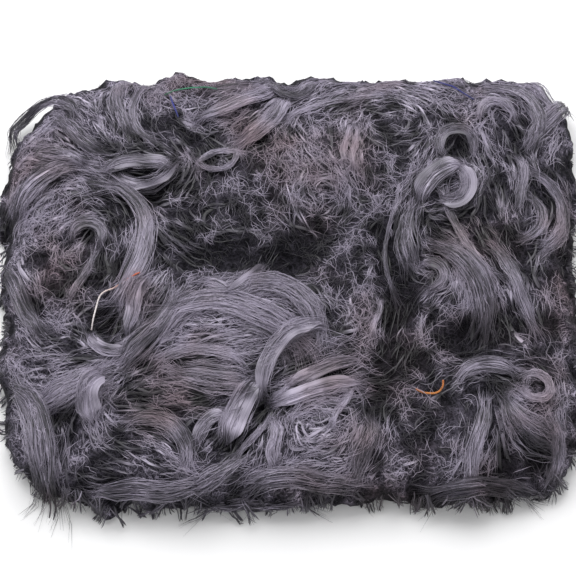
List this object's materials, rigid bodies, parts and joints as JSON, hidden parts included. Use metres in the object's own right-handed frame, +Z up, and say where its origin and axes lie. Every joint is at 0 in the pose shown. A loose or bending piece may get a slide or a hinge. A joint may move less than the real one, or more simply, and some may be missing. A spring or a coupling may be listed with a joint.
{
  "type": "loose mulberry silk fibre heap",
  "caption": "Matted heap of black-dyed loose silk fibre with combed locks curling over it, rim locks and stray ends of sewing thread, lying flat.",
  "frame": {"origin": "on the flat underside, in the middle of the heap", "axes": "+X along the heap's longer side, +Y towards its far side, +Z up"},
  "size_m": [0.4036, 0.328, 0.0566],
  "materials": {
    "silk_mass": "matted dyed silk fibre, soft sheen",
    "silk_lock": "combed dyed silk, satin",
    "thread_orange": "spun sewing thread",
    "thread_white": "spun sewing thread",
    "thread_green": "spun sewing thread",
    "thread_blue": "spun sewing thread"
  },
  "bodies": {
    "root": {"tangle": "silk_mass", "lock_corner_loop": "silk_lock", "lock_left_sweep": "silk_lock", "lock_left_sweep_upper": "silk_lock", "lock_upper_left_fan": "silk_lock", "lock_top_strand": "silk_lock", "lock_upper_band": "silk_lock", "lock_upper_bow": "silk_lock", "lock_top_curl": "silk_lock", "lock_eye_upper": "silk_lock", "lock_eye_lower": "silk_lock", "lock_long_lock_left": "silk_lock", "lock_claw_curl": "silk_lock", "lock_left_rim_lock": "silk_lock", "lock_far_right_band": "silk_lock", "lock_top_right_fold": "silk_lock", "lock_hole_rim_lock": "silk_lock", "lock_ring_curl_far": "silk_lock", "lock_ring_curl_near": "silk_lock", "lock_arch_curl": "silk_lock", "lock_right_sickle": "silk_lock", "lock_right_vertical": "silk_lock", "lock_fan_lock": "silk_lock", "lock_light_hook": "silk_lock", "lock_mid_right_sweep": "silk_lock", "lock_right_mid_lock": "silk_lock", "lock_left_mid_ribbon": "silk_lock", "lock_ring_bottom": "silk_lock", "lock_left_mid_fan": "silk_lock", "lock_feather_lock": "silk_lock", "lock_puff_lock": "silk_lock", "lock_left_column": "silk_lock", "lock_front_bow": "silk_lock", "lock_combed_sweep": "silk_lock", "lock_combed_sweep_low": "silk_lock", "lock_short_ribbon": "silk_lock", "lock_crown_lock": "silk_lock", "lock_ribbon_middle": "silk_lock", "lock_ribbon_wide": "silk_lock", "lock_ribbon_low": "silk_lock", "lock_wing_far": "silk_lock", "lock_wing_near": "silk_lock", "lock_low_vertical": "silk_lock", "lock_low_left_spread": "silk_lock", "lock_right_low_lock": "silk_lock", "lock_lower_lump": "silk_lock", "lock_hook_curl": "silk_lock", "lock_cone_lock": "silk_lock", "lock_right_low_ribbon": "silk_lock", "lock_edge_right": "silk_lock", "lock_front_band_left": "silk_lock", "lock_front_band_middle": "silk_lock", "lock_front_band_right": "silk_lock", "thread_orange": "thread_orange", "thread_white": "thread_white", "thread_green": "thread_green", "thread_blue_left": "thread_blue", "thread_blue_right": "thread_blue"}
  },
  "joints": []
}
